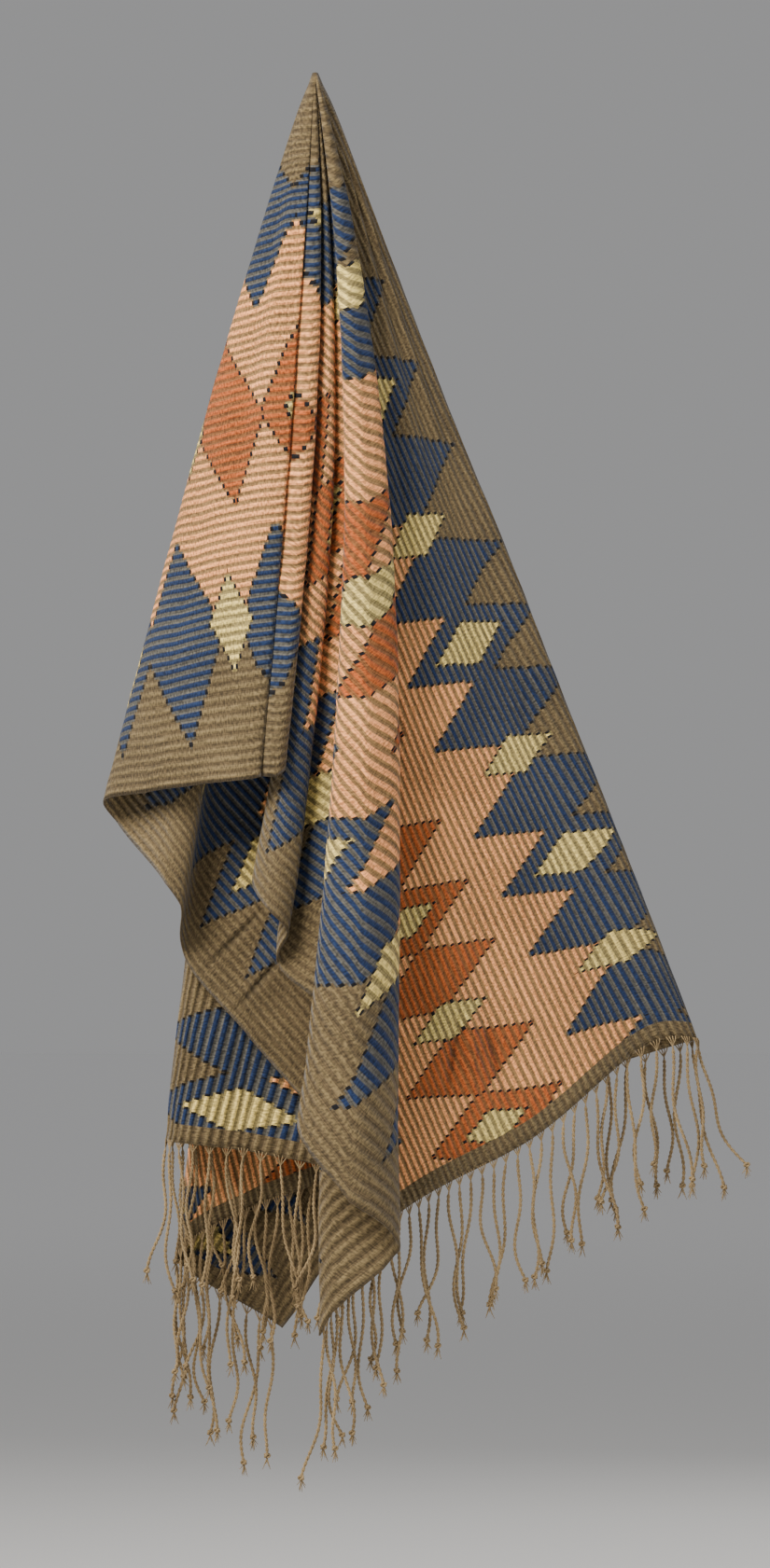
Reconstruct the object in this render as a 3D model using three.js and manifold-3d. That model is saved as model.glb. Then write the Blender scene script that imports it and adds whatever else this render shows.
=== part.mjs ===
// Ikat wall hanging: one long handwoven cloth hung by the middle of a long edge from a nail.
// Millimetres, +Z up. The origin is the middle of the nail's rear face, on the wall plane y = 0,
// and the cloth hangs in front of that plane, at negative y.
import * as THREE from 'three';
import { mergeVertices } from 'three/addons/utils/BufferGeometryUtils.js';
import Module from 'manifold-3d';

const wasm = await Module();
wasm.setup();

// The flat cloth, before it was hung
const clothWidth = 700;
const rightHalfLength = 1010;
const leftHalfLength = 1046;
const clothThickness = 1.4;

// The nail
const shankRadius = 1.3;
const shankLength = 22;
const nailClearance = 0.3;

// The fan of folds below the nail
const apexDrop = 3.6;
const wallGap = 6;
const bundleDepth = 70;
const depthGrowth = 0.68;
const bundleWidth = 60;
const tipHeight = 66;
const tipTop = 3.4;
const tipPinch = 0.9;
const tipRounding = 26;
const settleStart = 120;
const settleEnd = 1150;
const stepsPerFold = 2;
const stepsDown = 18;

// The fringe: twisted, knotted ends of the warp
const strandPitch = 15;
const strandRadius = 1.7;
const strandLength = 150;
const strandWave = 4;
const strandSteps = 5;
const rightSplay = { outward: 38, number: 6 };
const leftSplay = { outward: -6, number: 0 };
const splaySpread = 1.6;
const stripHeight = 2.4;
const stripThickness = 1;
const stripGap = 0.45;

// The folds in order along the cloth, from the right half's long edge round to the left half's.
// flat: direction from the nail on the flat cloth, 0 along the long edge to the right, in degrees
// top, lean: sideways angle from straight down, to the right, near the nail and at the cloth's edge
// bow: sideways bulge at half height, mm;  depth: angle out from the wall, in degrees
// reach: hanging length over flat length
const folds = [
  { name: 'right edge', flat: 0, top: 16.5, lean: 16, bow: 0, depth: 0.8, reach: 1 },
  { name: 'right fold', flat: 5.7, top: 22, lean: 21.7, bow: 0, depth: 2.2, reach: 1 },
  { name: 'panel outer', flat: 10.7, top: 20, lean: 17.4, bow: 0, depth: 5.2, reach: 1 },
  { name: 'panel middle', flat: 16.3, top: 17.5, lean: 12.6, bow: 0, depth: 7.2, reach: 1 },
  { name: 'panel inner', flat: 22.3, top: 14, lean: 7.4, bow: 0, depth: 9, reach: 1 },
  { name: 'panel behind roll', flat: 27.4, top: 10.5, lean: 3.6, bow: 0, depth: 10.2, reach: 1 },
  { name: 'corner fold back', flat: 34.3, top: 6.3, lean: 0.4, bow: 0, depth: 11.1, reach: 1 },
  { name: 'corner fold front', flat: 35.1, top: 6.3, lean: 0.4, bow: 0, depth: 12.1, reach: 1 },
  { name: 'roll right back', flat: 37.9, top: 12, lean: 3.85, bow: 8, depth: 12.7, reach: 1.01 },
  { name: 'roll right front', flat: 38.9, top: 12.4, lean: 4.1, bow: 9, depth: 14.2, reach: 1.02 },
  { name: 'roll front', flat: 41.7, top: 8, lean: 1.8, bow: 13, depth: 17.4, reach: 1.04 },
  { name: 'roll left', flat: 44.2, top: 4.2, lean: -0.8, bow: 16, depth: 15.8, reach: 1.02 },
  { name: 'roll back front', flat: 48.2, top: 7, lean: 1.7, bow: 8, depth: 14.9, reach: 1 },
  { name: 'roll back', flat: 49, top: 7, lean: 1.7, bow: 8, depth: 13.9, reach: 1 },
  { name: 'inner fold back', flat: 53.8, top: 2.6, lean: -2.4, bow: 8, depth: 12, reach: 1 },
  { name: 'inner fold front', flat: 54.6, top: 2.6, lean: -2.4, bow: 8, depth: 13, reach: 1 },
  { name: 'tongue right', flat: 56.6, top: 2.9, lean: -1.7, bow: 13, depth: 13.5, reach: 1 },
  { name: 'tongue front', flat: 58.9, top: 1.9, lean: -3, bow: 12, depth: 14.5, reach: 1 },
  { name: 'tongue left', flat: 61.3, top: 0.5, lean: -4.3, bow: 10, depth: 12.7, reach: 0.99 },
  { name: 'pleat turn', flat: 63.2, top: 0.6, lean: -3.6, bow: 9, depth: 11.1, reach: 0.98 },
  { name: 'first pleat front', flat: 67, top: 4.2, lean: -0.4, bow: 4, depth: 11, reach: 0.97 },
  { name: 'first pleat back', flat: 67.8, top: 4.2, lean: -0.4, bow: 4, depth: 10, reach: 0.97 },
  { name: 'second pleat front', flat: 71, top: 1.2, lean: -3, bow: 4, depth: 9.8, reach: 0.97 },
  { name: 'second pleat back', flat: 71.8, top: 1.2, lean: -3, bow: 4, depth: 8.8, reach: 0.97 },
  { name: 'third pleat front', flat: 75.9, top: 4.6, lean: 0, bow: 2, depth: 8.7, reach: 0.97 },
  { name: 'third pleat back', flat: 76.7, top: 4.6, lean: 0, bow: 2, depth: 7.7, reach: 0.97 },
  { name: 'fourth pleat', flat: 82.6, top: -0.9, lean: -4.4, bow: 2, depth: 7.6, reach: 0.97 },
  { name: 'side rise', flat: 84.8, top: -1.2, lean: -4.8, bow: 2, depth: 10.2, reach: 0.97 },
  { name: 'side rise top', flat: 86.8, top: -1, lean: -4.5, bow: 2, depth: 12.6, reach: 0.97 },
  { name: 'side roll right', flat: 89, top: 1.5, lean: -2.4, bow: 3, depth: 15.4, reach: 0.97 },
  { name: 'side roll front', flat: 90.5, top: -0.5, lean: -3.1, bow: 2, depth: 16.4, reach: 0.98 },
  { name: 'crease', flat: 92, top: -2.9, lean: -4.1, bow: 1, depth: 13.8, reach: 0.98 },
  { name: 'left panel inner', flat: 94, top: -4.7, lean: -5.4, bow: 0, depth: 15.2, reach: 0.985 },
  { name: 'left panel middle', flat: 98.4, top: -10, lean: -9, bow: -2, depth: 13.5, reach: 0.99 },
  { name: 'left panel outer', flat: 103.5, top: -14.6, lean: -13.2, bow: -4, depth: 10, reach: 1 },
  { name: 'left fold', flat: 108.6, top: -17.9, lean: -16.1, bow: -4, depth: 5.8, reach: 1 },
  { name: 'left turn', flat: 112, top: -16.4, lean: -14.8, bow: -3, depth: 4, reach: 1 },
  { name: 'back rise', flat: 119.3, top: -11, lean: -10.4, bow: -2, depth: 9.2, reach: 1 },
  { name: 'back shoulder', flat: 121.5, top: -9.4, lean: -9.1, bow: 0, depth: 9, reach: 1 },
  { name: 'back valley', flat: 126.6, top: -8.4, lean: -8.4, bow: 0, depth: 5.8, reach: 1 },
  { name: 'back middle', flat: 131.6, top: -4.2, lean: -4.2, bow: 0, depth: 5.9, reach: 1 },
  { name: 'back right', flat: 138.6, top: 1.5, lean: 1.5, bow: 0, depth: 5.7, reach: 1 },
  { name: 'back turn', flat: 141.4, top: 2.6, lean: 2.6, bow: 0, depth: 3.3, reach: 0.99 },
  { name: 'low back right', flat: 144, top: 0.2, lean: 0.2, bow: 0, depth: 0.8, reach: 0.985 },
  { name: 'low corner', flat: 146.2, top: -1.5, lean: -1.5, bow: 0, depth: 0.8, reach: 0.975 },
  { name: 'low back fold', flat: 151.8, top: -6.5, lean: -6.5, bow: 0, depth: 0.85, reach: 0.985 },
  { name: 'low front fold', flat: 153, top: -6.5, lean: -6.5, bow: 0, depth: 2.05, reach: 0.985 },
  { name: 'low middle', flat: 158.6, top: -2.9, lean: -2.9, bow: 0, depth: 2, reach: 0.985 },
  { name: 'low right back', flat: 163.6, top: 0.6, lean: 0.6, bow: 0, depth: 2.1, reach: 0.99 },
  { name: 'low right turn', flat: 164.8, top: 1.1, lean: 1.1, bow: 0, depth: 3.3, reach: 0.99 },
  { name: 'low right front', flat: 166, top: 0.6, lean: 0.6, bow: 0, depth: 4.4, reach: 0.99 },
  { name: 'low front', flat: 169.6, top: -3.6, lean: -3.6, bow: -4, depth: 4.5, reach: 0.99 },
  { name: 'low left front', flat: 174, top: -7.8, lean: -7.8, bow: -8, depth: 4.4, reach: 1 },
  { name: 'low left back', flat: 175, top: -7.8, lean: -7.8, bow: -8, depth: 3.3, reach: 1 },
  { name: 'left edge', flat: 180, top: -3.4, lean: -3.4, bow: -6, depth: 3.2, reach: 1 },
];

const radians = THREE.MathUtils.degToRad;

// Centripetal curve through the folds, so that each one turns over a small round
function roundedFolds() {
  const curve = (lean) => new THREE.CatmullRomCurve3(
    folds.map((fold) => new THREE.Vector3(fold[lean], fold.depth, 0)),
    false,
    'centripetal',
  );
  const topCurve = curve('top');
  const edgeCurve = curve('lean');
  const sections = [];
  const spans = folds.length - 1;
  for (let i = 0; i <= spans * stepsPerFold; i += 1) {
    const place = i / stepsPerFold;
    const before = Math.min(Math.floor(place), spans - 1);
    const share = place - before;
    const between = (column) => THREE.MathUtils.lerp(folds[before][column], folds[before + 1][column], share);
    const turned = edgeCurve.getPoint(place / spans);
    sections.push({
      flat: between('flat'),
      top: topCurve.getPoint(place / spans).x,
      lean: turned.x,
      depth: turned.y,
      bow: between('bow'),
      reach: between('reach'),
    });
  }
  return sections;
}

// Flat distance from the nail to the cloth's edge in a direction
function flatReach(flat) {
  const along = Math.cos(radians(flat));
  const across = Math.sin(radians(flat));
  const toEnd = along > 0 ? rightHalfLength / along : leftHalfLength / Math.max(-along, 1e-9);
  const toSide = clothWidth / Math.max(across, 1e-9);
  return Math.min(toEnd, toSide);
}

// Width of the gathered bundle at a distance down from the nail
function gatheredWidth(down) {
  return Math.hypot(down, bundleWidth) * (1 - tipPinch * Math.exp(-down / tipRounding));
}

// Share of the way from a fold's lean near the nail to its lean far down
function settled(down) {
  const share = THREE.MathUtils.clamp((down - settleStart) / (settleEnd - settleStart), 0, 1);
  return 1 - (1 - share) ** 1.8;
}

// Where a point of the cloth hangs: section of the fan, flat distance from the nail
function hang(section, distance) {
  const edge = flatReach(section.flat);
  const down = distance * section.reach;
  const share = distance / edge;
  const turn = settled(down) / settled(edge * section.reach);
  const lean = radians(THREE.MathUtils.lerp(section.top, section.lean, turn));
  const bow = section.bow * 4 * share * (1 - share);
  const x = Math.sin(lean) * gatheredWidth(down) + bow;
  const y = -wallGap - Math.tan(radians(section.depth)) * (bundleDepth + depthGrowth * down);
  const z = -apexDrop - down * Math.cos(lean);
  return new THREE.Vector3(x, y, z);
}

// A grid of points closed into a sheet of the cloth's thickness
function sheetGeometry(grid, thickness) {
  const columns = grid.length;
  const rows = grid[0].length;
  const at = (i, j) => grid[THREE.MathUtils.clamp(i, 0, columns - 1)][THREE.MathUtils.clamp(j, 0, rows - 1)];
  const front = [];
  const back = [];
  for (let i = 0; i < columns; i += 1) {
    for (let j = 0; j < rows; j += 1) {
      const across = at(i + 1, j).clone().sub(at(i - 1, j));
      const down = at(i, j + 1).clone().sub(at(i, j - 1));
      const normal = across.cross(down).normalize().multiplyScalar(thickness / 2);
      front.push(at(i, j).clone().add(normal));
      back.push(at(i, j).clone().sub(normal));
    }
  }
  const points = front.concat(back);
  const shift = front.length;
  const index = (i, j) => i * rows + j;
  const triangles = [];
  const quad = (a, b, c, d) => triangles.push(a, b, c, a, c, d);
  for (let i = 0; i < columns - 1; i += 1) {
    for (let j = 0; j < rows - 1; j += 1) {
      const corners = [index(i, j), index(i + 1, j), index(i + 1, j + 1), index(i, j + 1)];
      quad(...corners);
      quad(...corners.map((corner) => corner + shift).reverse());
    }
  }
  const rim = [];
  for (let i = 0; i < columns - 1; i += 1) rim.push(index(i, 0));
  for (let j = 0; j < rows - 1; j += 1) rim.push(index(columns - 1, j));
  for (let i = columns - 1; i > 0; i -= 1) rim.push(index(i, rows - 1));
  for (let j = rows - 1; j > 0; j -= 1) rim.push(index(0, j));
  rim.forEach((from, k) => {
    const to = rim[(k + 1) % rim.length];
    quad(to, from, from + shift, to + shift);
  });
  return closedGeometry(points, triangles);
}

function closedGeometry(points, triangles) {
  const geometry = new THREE.BufferGeometry();
  geometry.setAttribute('position', new THREE.Float32BufferAttribute(points.flatMap((p) => p.toArray()), 3));
  geometry.setIndex(triangles);
  return geometry;
}

// Three.js geometry to a solid that can be joined and cut, and back
function toSolid(geometry) {
  const plain = geometry.clone();
  plain.deleteAttribute('normal');
  plain.deleteAttribute('uv');
  const merged = mergeVertices(plain, 1e-4);
  const mesh = new wasm.Mesh({
    numProp: 3,
    vertProperties: new Float32Array(merged.attributes.position.array),
    triVerts: new Uint32Array(merged.index.array),
  });
  return new wasm.Manifold(mesh);
}

function toGeometry(solid) {
  const mesh = solid.getMesh();
  const geometry = new THREE.BufferGeometry();
  geometry.setAttribute('position', new THREE.BufferAttribute(new Float32Array(mesh.vertProperties), 3));
  geometry.setIndex(new THREE.BufferAttribute(new Uint32Array(mesh.triVerts), 1));
  geometry.computeVertexNormals();
  return geometry;
}

// A solid lofted through closed rings of points, first ring on top, rings turning the same way
function loft(rings) {
  const count = rings[0].length;
  const points = rings.flat();
  const triangles = [];
  for (let r = 0; r < rings.length - 1; r += 1) {
    for (let k = 0; k < count; k += 1) {
      const a = r * count + k;
      const b = r * count + ((k + 1) % count);
      triangles.push(a, a + count, b, b, a + count, b + count);
    }
  }
  const last = (rings.length - 1) * count;
  for (let k = 1; k < count - 1; k += 1) {
    triangles.push(0, k, k + 1);
    triangles.push(last, last + k + 1, last + k);
  }
  return closedGeometry(points, triangles);
}

// The gathered tip, where the folds are pressed together round the nail.
// lean and depth as in the folds, in order round the bundle seen from above
const tipOutline = [
  { lean: 23, depth: 2.2 },
  { lean: 20.5, depth: 6.2 },
  { lean: 14.6, depth: 10.6 },
  { lean: 13.2, depth: 14.2 },
  { lean: 8.2, depth: 17.6 },
  { lean: 3.8, depth: 15.6 },
  { lean: 2.4, depth: 15.4 },
  { lean: -0.4, depth: 17 },
  { lean: -2.8, depth: 15.2 },
  { lean: -4.8, depth: 16 },
  { lean: -10.6, depth: 14.4 },
  { lean: -15.4, depth: 10.6 },
  { lean: -18.8, depth: 5.6 },
  { lean: -16.4, depth: 3 },
  { lean: -7.6, depth: 0.1 },
  { lean: 2.6, depth: 0.1 },
  { lean: 16, depth: 0.1 },
];

function tipRing(down, height) {
  return tipOutline.map(({ lean, depth }) => {
    const x = Math.sin(radians(lean)) * gatheredWidth(down);
    const y = -wallGap - Math.tan(radians(depth)) * (bundleDepth + depthGrowth * down);
    return new THREE.Vector3(x, y, height);
  });
}

function gatheredTip() {
  const heights = [0, 8, 18, 32, 48, tipHeight + 4];
  const rings = heights.map((down) => tipRing(down, down === 0 ? tipTop : -apexDrop - down));
  return toSolid(loft(rings.map((ring) => ring.slice().reverse())));
}

function nailShaft(radius, from, to) {
  const shaft = new THREE.CylinderGeometry(radius, radius, to - from, 16);
  shaft.translate(0, -(from + to) / 2, 0);
  return shaft;
}

const sections = roundedFolds();

function cloth() {
  const grid = sections.map((section) => {
    const edge = flatReach(section.flat);
    const column = [];
    for (let j = 0; j <= stepsDown; j += 1) {
      const share = j / stepsDown;
      column.push(hang(section, THREE.MathUtils.lerp(tipHeight, edge, share)));
    }
    return column;
  });
  const draped = toSolid(sheetGeometry(grid, clothThickness));
  const hole = toSolid(nailShaft(shankRadius + nailClearance, -1, shankLength + nailClearance));
  return toGeometry(draped.add(gatheredTip()).subtract(hole));
}

function nail() {
  return toGeometry(toSolid(nailShaft(shankRadius, 0, shankLength)));
}

// A place past the end of the cloth, in line with the cloth in a flat direction
function pastEnd(flat, distance) {
  const spans = sections.length - 1;
  let k = 0;
  while (k < spans - 1 && sections[k + 1].flat < flat) k += 1;
  const share = (flat - sections[k].flat) / (sections[k + 1].flat - sections[k].flat);
  const slant = Math.abs(Math.cos(radians(flat)));
  const a = hang(sections[k], flatReach(sections[k].flat) + distance / slant);
  const b = hang(sections[k + 1], flatReach(sections[k + 1].flat) + distance / slant);
  return a.lerp(b, share);
}

// Evenly spaced places along an end of the cloth: flat directions of the strands
function strandDirections(halfLength, firstShift) {
  const places = [];
  for (let across = firstShift; across < clothWidth - firstShift / 2; across += strandPitch) {
    places.push(THREE.MathUtils.radToDeg(Math.atan2(across, halfLength)));
  }
  return places;
}

// A strand hangs from its root, waves a little and ends in a knot
function strand(root, number, splay) {
  const length = strandLength + 9 * Math.sin(number * 1.7);
  const route = [];
  for (let s = 0; s <= strandSteps; s += 1) {
    const share = s / strandSteps;
    const wave = strandWave * Math.sin(share * 4 + number * 2.4) * share;
    const nearness = Math.exp(-Math.abs(number - splay.number) / splaySpread);
    const outward = splay.outward * nearness * share ** 1.5;
    route.push(new THREE.Vector3(root.x + wave + outward, root.y, root.z - length * share));
  }
  const rings = route.map((centre, s) => {
    const radius = s === strandSteps ? strandRadius * 1.3 : strandRadius;
    const ring = [];
    for (let k = 0; k < 3; k += 1) {
      const turn = (k / 3) * Math.PI * 2 + Math.PI / 2;
      ring.push(new THREE.Vector3(
        centre.x + radius * Math.cos(turn),
        centre.y + radius * Math.sin(turn),
        centre.z,
      ));
    }
    return ring;
  });
  return toSolid(loft(rings));
}

// A fringe: a narrow strip along the end of the cloth with its strands fused to it
function fringe(flats, halfEnds, splay) {
  const span = sections.filter(({ flat }) => flat > halfEnds[0] && flat < halfEnds[1]);
  const directions = [halfEnds[0], ...span.map(({ flat }) => flat), halfEnds[1]];
  const grid = directions.map((flat) => [pastEnd(flat, stripGap), pastEnd(flat, stripGap + stripHeight)]);
  let solid = toSolid(sheetGeometry(grid, stripThickness));
  flats.forEach((flat, number) => {
    solid = solid.add(strand(pastEnd(flat, stripGap + stripHeight - 0.5), number, splay));
  });
  return toGeometry(solid);
}

const woven = new THREE.MeshStandardMaterial({ color: 0x8b7a5e, roughness: 0.95, metalness: 0 });
const cord = new THREE.MeshStandardMaterial({ color: 0x9c8a6c, roughness: 0.95, metalness: 0 });
const iron = new THREE.MeshStandardMaterial({ color: 0x2a2826, roughness: 0.5, metalness: 0.9 });

const rightEnd = strandDirections(rightHalfLength, 8);
const leftEnd = strandDirections(leftHalfLength, 8).map((flat) => 180 - flat).reverse();
const cornerMargin = 0.15;

const pieces = [
  { name: 'cloth', geometry: cloth(), material: woven },
  { name: 'nail', geometry: nail(), material: iron },
  { name: 'right_fringe', geometry: fringe(rightEnd, [cornerMargin, 34.7 - cornerMargin], rightSplay), material: cord },
  { name: 'left_fringe', geometry: fringe(leftEnd, [146.2 + cornerMargin, 180 - cornerMargin], leftSplay), material: cord },
];

const hanging = new THREE.Group();
for (const { name, geometry, material } of pieces) {
  const mesh = new THREE.Mesh(geometry, material);
  mesh.name = name;
  hanging.add(mesh);
}

export default hanging;
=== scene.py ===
import math

import bpy
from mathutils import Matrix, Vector, noise


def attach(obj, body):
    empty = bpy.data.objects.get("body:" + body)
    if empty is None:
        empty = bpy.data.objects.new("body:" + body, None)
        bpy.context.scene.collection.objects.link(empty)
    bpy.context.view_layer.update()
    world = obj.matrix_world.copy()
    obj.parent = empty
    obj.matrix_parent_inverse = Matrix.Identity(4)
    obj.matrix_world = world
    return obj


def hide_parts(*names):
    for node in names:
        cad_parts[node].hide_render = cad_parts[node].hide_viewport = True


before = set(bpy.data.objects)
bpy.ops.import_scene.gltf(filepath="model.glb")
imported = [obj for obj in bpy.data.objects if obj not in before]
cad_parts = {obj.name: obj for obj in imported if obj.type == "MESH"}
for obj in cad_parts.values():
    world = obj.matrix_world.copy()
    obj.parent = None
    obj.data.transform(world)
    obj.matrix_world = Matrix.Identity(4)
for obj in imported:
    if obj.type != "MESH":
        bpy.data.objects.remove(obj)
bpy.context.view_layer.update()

# Millimetres in a metre, and the least values that may divide another
MILLIMETRES = 1000
TINY = 1e-9
SMALLEST_GAP = 1e-4
SMALLEST_NORMAL = 1e-12

# The cloth, in metres: its two halves along the ribs lie on each side of the nail
CLOTH_WIDTH = 0.7
RIGHT_HALF_LENGTH = 1.01
LEFT_HALF_LENGTH = 1.046
CLOTH_THICKNESS = 0.0014

# How the cloth hangs from the nail, in metres
APEX_DROP = 0.0036
WALL_GAP = 0.006
BUNDLE_WIDTH = 0.06
BUNDLE_DEPTH = 0.07
# how much deeper the bundle gets with each metre down
DEPTH_GROWTH = 0.68
# the gathered tip: its top, how soon it sinks from there, the share it is pinched by and how far
TIP_TOP = 0.0034
TIP_LIFT = 0.005
TIP_PINCH = 0.9
TIP_ROUNDING = 0.026
# between these distances a fold turns from its lean near the nail to its lean at the hem
SETTLE_START = 0.12
SETTLE_END = 1.15
SETTLE_POWER = 1.8

# How finely the cloth is divided: degrees of flat cloth in a column, fewest columns in a fold,
# rows from the nail to the hem, and the distance of the first row from the nail in metres
DEGREES_PER_COLUMN = 0.6
FEWEST_COLUMNS = 3
ROWS_DOWN = 130
FIRST_RING = 0.0003

# Folds, from the right end round to the left end.
# flat: direction of the fold on the flat cloth, degrees below its top selvedge
# top, lean: its lean from straight down near the nail and at the hem, degrees
# bow: how far it bows to the right halfway, millimetres
# depth: how far it stands off the wall, degrees from the wall
# reach: share of its length that shows, the rest lies in small creases
FOLDS = (
    # name, flat, top, lean, bow, depth, reach
    ("right edge", 0, 16.5, 16, 0, 0.8, 1),
    ("right fold", 5.7, 22, 21.7, 0, 2.2, 1),
    ("panel outer", 10.7, 20, 17.4, 0, 5.2, 1),
    ("panel middle", 16.3, 17.5, 12.6, 0, 7.2, 1),
    ("panel inner", 22.3, 14, 7.4, 0, 9, 1),
    ("panel behind roll", 27.4, 10.5, 3.6, 0, 10.2, 1),
    ("corner fold back", 34.3, 6.3, 0.4, 0, 11.1, 1),
    ("corner fold front", 35.1, 6.3, 0.4, 0, 12.1, 1),
    ("roll right back", 37.9, 12, 3.85, 8, 12.7, 1.01),
    ("roll right front", 38.9, 12.4, 4.1, 9, 14.2, 1.02),
    ("roll front", 41.7, 8, 1.8, 13, 17.4, 1.04),
    ("roll left", 44.2, 4.2, -0.8, 16, 15.8, 1.02),
    ("roll back front", 48.2, 7, 1.7, 8, 14.9, 1),
    ("roll back", 49, 7, 1.7, 8, 13.9, 1),
    ("inner fold back", 53.8, 2.6, -2.4, 8, 12, 1),
    ("inner fold front", 54.6, 2.6, -2.4, 8, 13, 1),
    ("tongue right", 56.6, 2.9, -1.7, 13, 13.5, 1),
    ("tongue front", 58.9, 1.9, -3, 12, 14.5, 1),
    ("tongue left", 61.3, 0.5, -4.3, 10, 12.7, 0.99),
    ("pleat turn", 63.2, 0.6, -3.6, 9, 11.1, 0.98),
    ("first pleat front", 67, 4.2, -0.4, 4, 11, 0.97),
    ("first pleat back", 67.8, 4.2, -0.4, 4, 10, 0.97),
    ("second pleat front", 71, 1.2, -3, 4, 9.8, 0.97),
    ("second pleat back", 71.8, 1.2, -3, 4, 8.8, 0.97),
    ("third pleat front", 75.9, 4.6, 0, 2, 8.7, 0.97),
    ("third pleat back", 76.7, 4.6, 0, 2, 7.7, 0.97),
    ("fourth pleat", 82.6, -0.9, -4.4, 2, 7.6, 0.97),
    ("side rise", 84.8, -1.2, -4.8, 2, 10.2, 0.97),
    ("side rise top", 86.8, -1, -4.5, 2, 12.6, 0.97),
    ("side roll right", 89, 1.5, -2.4, 3, 15.4, 0.97),
    ("side roll front", 90.5, -0.5, -3.1, 2, 16.4, 0.98),
    ("crease", 91.9, -4.9, -5.9, 1, 13.2, 0.98),
    ("left panel edge", 93.3, -3.4, -4.4, 0, 15.5, 0.98),
    ("left panel inner", 94.2, -4.9, -5.6, 0, 15.4, 0.985),
    ("left panel middle", 98.4, -10, -9, -2, 13.5, 0.99),
    ("left panel outer", 103.5, -14.6, -13.2, -4, 10, 1),
    ("left fold", 108.6, -17.9, -16.1, -4, 5.8, 1),
    ("left turn", 112, -16.4, -14.8, -3, 4, 1),
    ("back rise", 119.3, -11, -10.4, -2, 9.2, 1),
    ("back shoulder", 121.5, -9.4, -9.1, 0, 9, 1),
    ("back valley", 126.6, -8.4, -8.4, 0, 5.8, 1),
    ("back middle", 131.6, -4.2, -4.2, 0, 5.9, 1),
    ("back right", 138.6, 1.5, 1.5, 0, 5.7, 1),
    ("back turn", 141.4, 2.6, 2.6, 0, 3.3, 0.99),
    ("low back right", 144, 0.2, 0.2, 0, 0.8, 0.985),
    ("low corner", 146.2, -1.5, -1.5, 0, 0.8, 0.975),
    ("low back fold", 151.8, -6.5, -6.5, 0, 0.85, 0.985),
    ("low front fold", 153, -6.5, -6.5, 0, 2.05, 0.985),
    ("low middle", 158.6, -2.9, -2.9, 0, 2, 0.985),
    ("low right back", 163.6, 0.6, 0.6, 0, 2.1, 0.99),
    ("low right turn", 164.8, 1.1, 1.1, 0, 3.3, 0.99),
    ("low right front", 166, 0.6, 0.6, 0, 4.4, 0.99),
    ("low front", 169.6, -3.6, -3.6, -4, 4.5, 0.99),
    ("low left front", 174, -7.8, -7.8, -8, 4.4, 1),
    ("low left back", 175, -7.8, -7.8, -8, 3.3, 1),
    ("left edge", 180, -3.4, -3.4, -6, 3.2, 1),
)
FLAT, TOP, LEAN, BOW, DEPTH, REACH = range(1, 7)
RIGHT_FOLD = FOLDS[1][FLAT]
LAST_FLAT = FOLDS[-1][FLAT]

# The fringe, in metres: strands of two twisted yarns, each with a knot and a loose tuft
STRAND_PITCH = 0.015
FIRST_STRAND = 0.008
STRAND_LENGTH = 0.152
STRAND_RINGS = 88
# the length changes from strand to strand, with a sine of this turn
LENGTH_SPREAD = 0.014
LENGTH_TURN = 1.7
LENGTH_OFFSET = 0.4
# Bends of a strand: each grows with a power of the share of its length
SIDEWAYS_BENDS = (
    # size, turn down the strand, turn from strand to strand, power
    (0.004, 4, 2.4, 1),
    (0.0052, 7.5, 5.1, 0.7),
    (0.014, 0, 4.3, 1.4),
)
FORWARD_BENDS = (
    # size, turn down the strand, turn from strand to strand, power
    (0.0052, 6, 3.7, 1),
    (-0.0042, 0, 2.9, 1),
)
# Strands near the free corner splay: how far to the right, and which strand does so most. It
# fades over a number of strands to each side, and grows down the strand with a power.
RIGHT_SPLAY = (0.038, 6)
LEFT_SPLAY = (-0.006, 0)
SPLAY_SPREAD = 1.6
SPLAY_POWER = 1.5
# The two yarns of a strand start thinner and closer, and are full after a few rings
PLIES = 2
PLY_RADIUS = 0.00098
PLY_OFFSET = 0.00085
PLY_SIDES = 5
PLY_START = 0.7
RINGS_TO_FULL_PLY = 4
RINGS_PER_TURN = 7
# Yarns that run together from the end of the cloth into a strand
GATHER_LENGTH = 0.008
GATHER_SLOPING = 0.4
GATHER_WIDTH = 0.009
GATHER_YARNS = 4
GATHER_ROOT = -0.002
GATHER_MIDDLE = 0.0015
GATHER_MIDDLE_SPREAD = 0.7
GATHER_LAST_RING = 3
YARN_RADIUS = 0.0006
YARN_SIDES = 4
# A knot is one closed yarn with lobes: its height is a share of its radius, and its yarn is a
# little thicker than those of the strand
KNOT_RADIUS = 0.0027
KNOT_HEIGHT = 0.6
KNOT_ROUNDS = 2
KNOT_LOBES = 3
KNOT_YARN = 1.1
KNOT_RINGS = 28
# The loose yarns of a tuft spread and drop by sines that change from yarn to yarn
TUFT_LENGTH = 0.014
TUFT_LENGTH_CHANGE = 0.25
TUFT_LENGTH_TURN = 1.9
TUFT_SPREAD = 0.005
TUFT_LEAST_SPREAD = 0.35
TUFT_SPREAD_TURN = 2.1
TUFT_STRAND_TURN = 3.3
TUFT_ROUND_TURN = 1.3
TUFT_YARNS = 8
TUFT_RADIUS = 0.0005
TUFT_TIP = 0.5
TUFT_SIDES = 3
TUFT_SHARES = (0, 0.3, 0.6, 1)
TUFT_POWER = 1.5

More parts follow.
